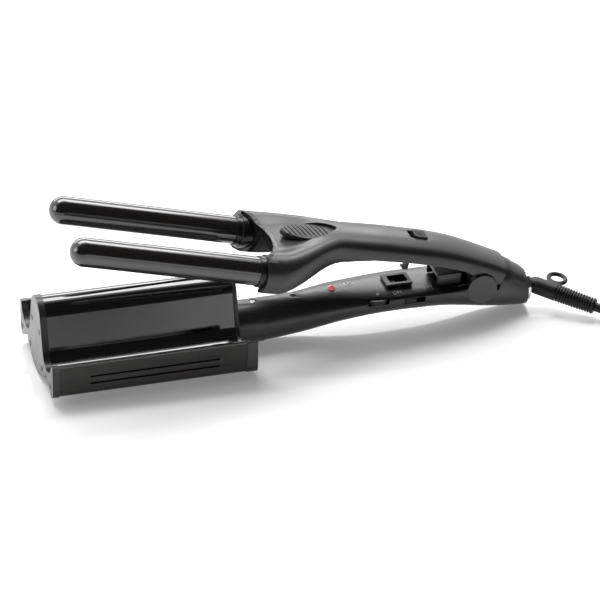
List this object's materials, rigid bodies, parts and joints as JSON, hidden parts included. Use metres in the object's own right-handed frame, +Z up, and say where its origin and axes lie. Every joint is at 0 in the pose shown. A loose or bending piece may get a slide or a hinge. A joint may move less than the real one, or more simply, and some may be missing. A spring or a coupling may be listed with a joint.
{
  "type": "hair waver",
  "caption": "Handheld mains hair waver: two parallel round barrels on a sprung upper arm that close into the troughs of a wave-shaped lower plate, with a swivel cord.",
  "frame": {"origin": "centre of the underside of the front foot, on the table", "axes": "+X along the tool from the plate's front end to the cord, +Z up from the table, +Y to the far side in the picture"},
  "size_m": [0.5391, 0.127, 0.1091],
  "materials": {
    "plate_black": "gloss ceramic coating on pressed aluminium",
    "barrel_black": "gloss ceramic coating on aluminium tube",
    "casing_grey": "fine matte",
    "cap_black": "satin",
    "handle_black": "satin",
    "collar_black": "gloss, heat resistant",
    "pad_black": "moulded ribs",
    "control_black": "fine grain",
    "lamp_red": "clear moulding over a lamp",
    "screw_steel": "plated",
    "spring_steel": "oiled",
    "pin_steel": "ground",
    "carrier_steel": "pressed",
    "heater_white": null,
    "board_green": "solder mask",
    "ring_chrome": "polished",
    "foot_rubber": "matte",
    "cord_rubber": "matte",
    "pin_brass": "plain"
  },
  "bodies": {
    "lower_body": {"wave_plate": "plate_black", "jaw_casing": "casing_grey", "front_cap": "cap_black", "rear_cap": "cap_black", "cap_screws": "control_black", "plate_carrier": "carrier_steel", "plate_heater": "heater_white", "thermal_fuse": "screw_steel", "rest_foot": "foot_rubber", "neck": "handle_black", "neck_screws": "screw_steel", "handle_tray": "handle_black", "handle_cover": "handle_black", "latch_socket": "control_black", "led_lamp": "lamp_red", "circuit_board": "board_green", "power_switch": "control_black", "dial_axle": "control_black", "rear_housing": "handle_black", "hinge_block": "handle_black", "rear_cover": "handle_black", "chrome_ring": "ring_chrome", "hinge_pin": "pin_steel", "arm_spring": "spring_steel", "cord": "cord_rubber", "cord_coil": "cord_rubber", "plug_body": "cord_rubber", "plug_pins": "pin_brass"},
    "upper_arm": {"arm_shell": "handle_black", "yoke_face": "handle_black", "arm_liner": "handle_black", "thumb_pad": "pad_black", "near_barrel": "barrel_black", "far_barrel": "barrel_black", "near_collar": "collar_black", "far_collar": "collar_black", "near_heater": "heater_white", "far_heater": "heater_white", "arm_screws": "screw_steel"},
    "lock": {"lock_slider": "control_black"},
    "power": {"power_slider": "control_black"},
    "dial": {"temp_dial": "control_black"},
    "swivel": {"cord_swivel": "cord_rubber", "cord_boot": "cord_rubber", "hang_loop": "cord_rubber"}
  },
  "joints": [
    {"name": "arm_hinge", "type": "hinge", "parent": "lower_body", "child": "upper_arm", "pos_m": [0.2887, 0, 0.02585], "axis": [0, -1, 0], "range_deg": [0, 14.72], "stiffness_Nm_per_rad": 1.2, "springref_deg": -40.11},
    {"name": "lock_slide", "type": "slide", "parent": "upper_arm", "child": "lock", "axis": [-0.9652, 0, 0.2614], "range_m": [0, 0.003]},
    {"name": "power_slide", "type": "slide", "parent": "lower_body", "child": "power", "axis": [1, 0, -0.0075], "range_m": [0, 0.005]},
    {"name": "dial_turn", "type": "hinge", "parent": "lower_body", "child": "dial", "pos_m": [0.2165, -0.0112, 0.02629], "axis": [0.0075, 0, 1], "range_deg": [0, 270]},
    {"name": "cord_turn", "type": "hinge", "parent": "lower_body", "child": "swivel", "pos_m": [0.32474, 0, 0.01688], "axis": [0.7565, -0.6357, -0.1535], "continuous": true}
  ]
}
